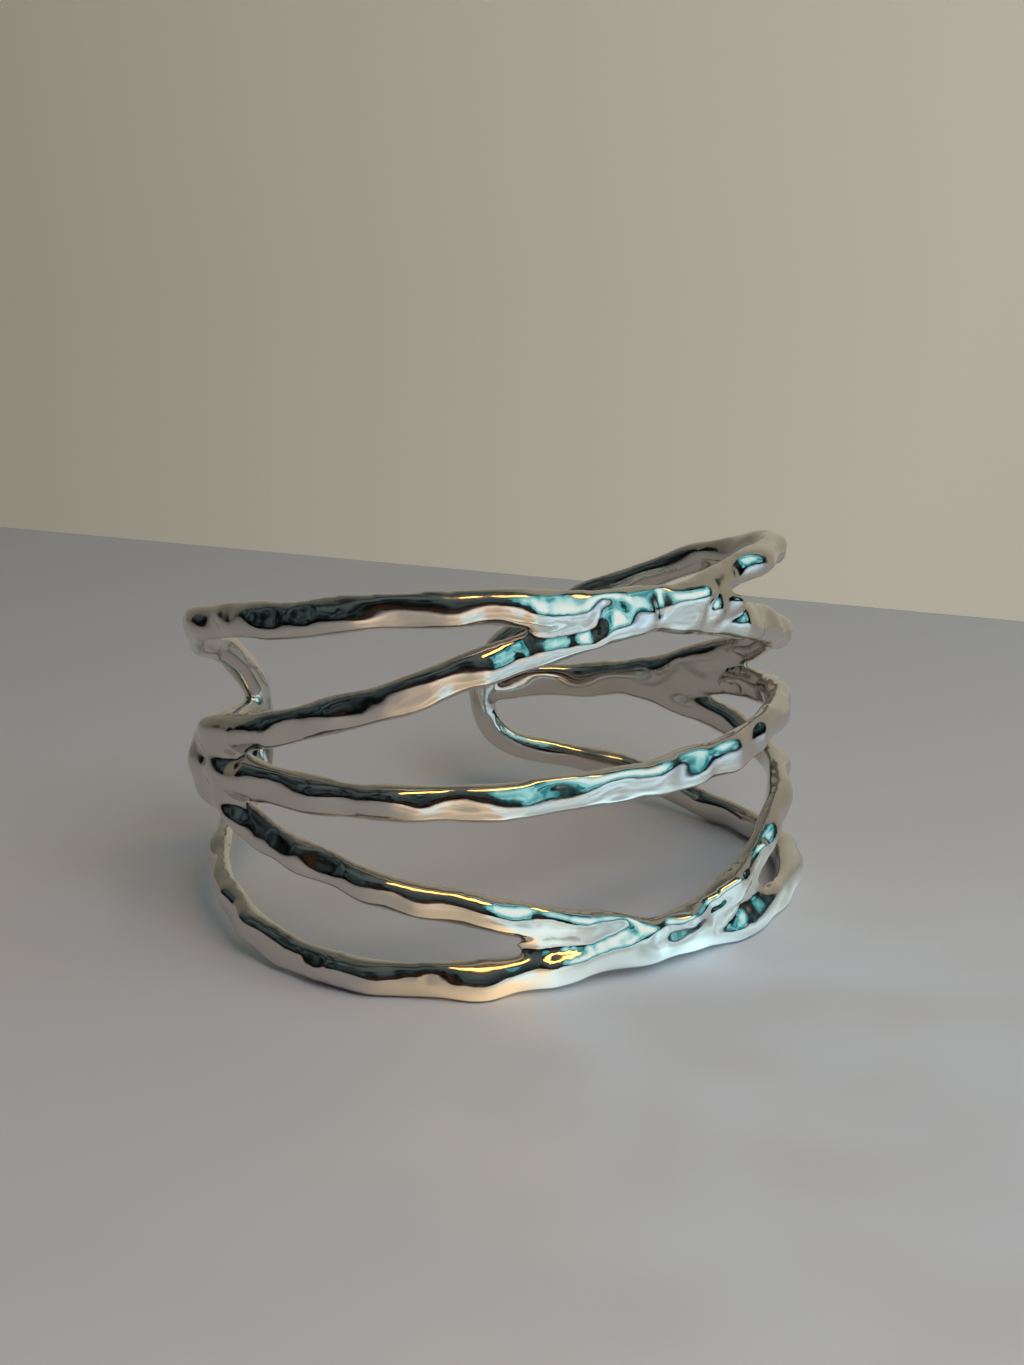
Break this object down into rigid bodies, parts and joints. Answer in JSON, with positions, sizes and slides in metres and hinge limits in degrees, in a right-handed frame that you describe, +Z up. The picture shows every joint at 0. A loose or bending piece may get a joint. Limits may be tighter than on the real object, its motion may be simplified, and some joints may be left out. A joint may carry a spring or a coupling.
{
  "type": "cuff bangle",
  "caption": "Open cuff bangle cast in one piece: molten-looking polished strands weave along an oval wall and join at a knot on each side, with a gap at the back.",
  "frame": {"origin": "on the surface the cuff stands on, under the middle of its bounding box", "axes": "+X along the longer way across the oval, +Y towards the opening between the two ends, +Z up along the wrist's direction"},
  "size_m": [0.0654, 0.052, 0.0388],
  "materials": {
    "polished_plate": "mirror-polished bright silver-tone plating over a hammered, molten-looking casting"
  },
  "bodies": {
    "root": {"cuff": "polished_plate"}
  },
  "joints": []
}
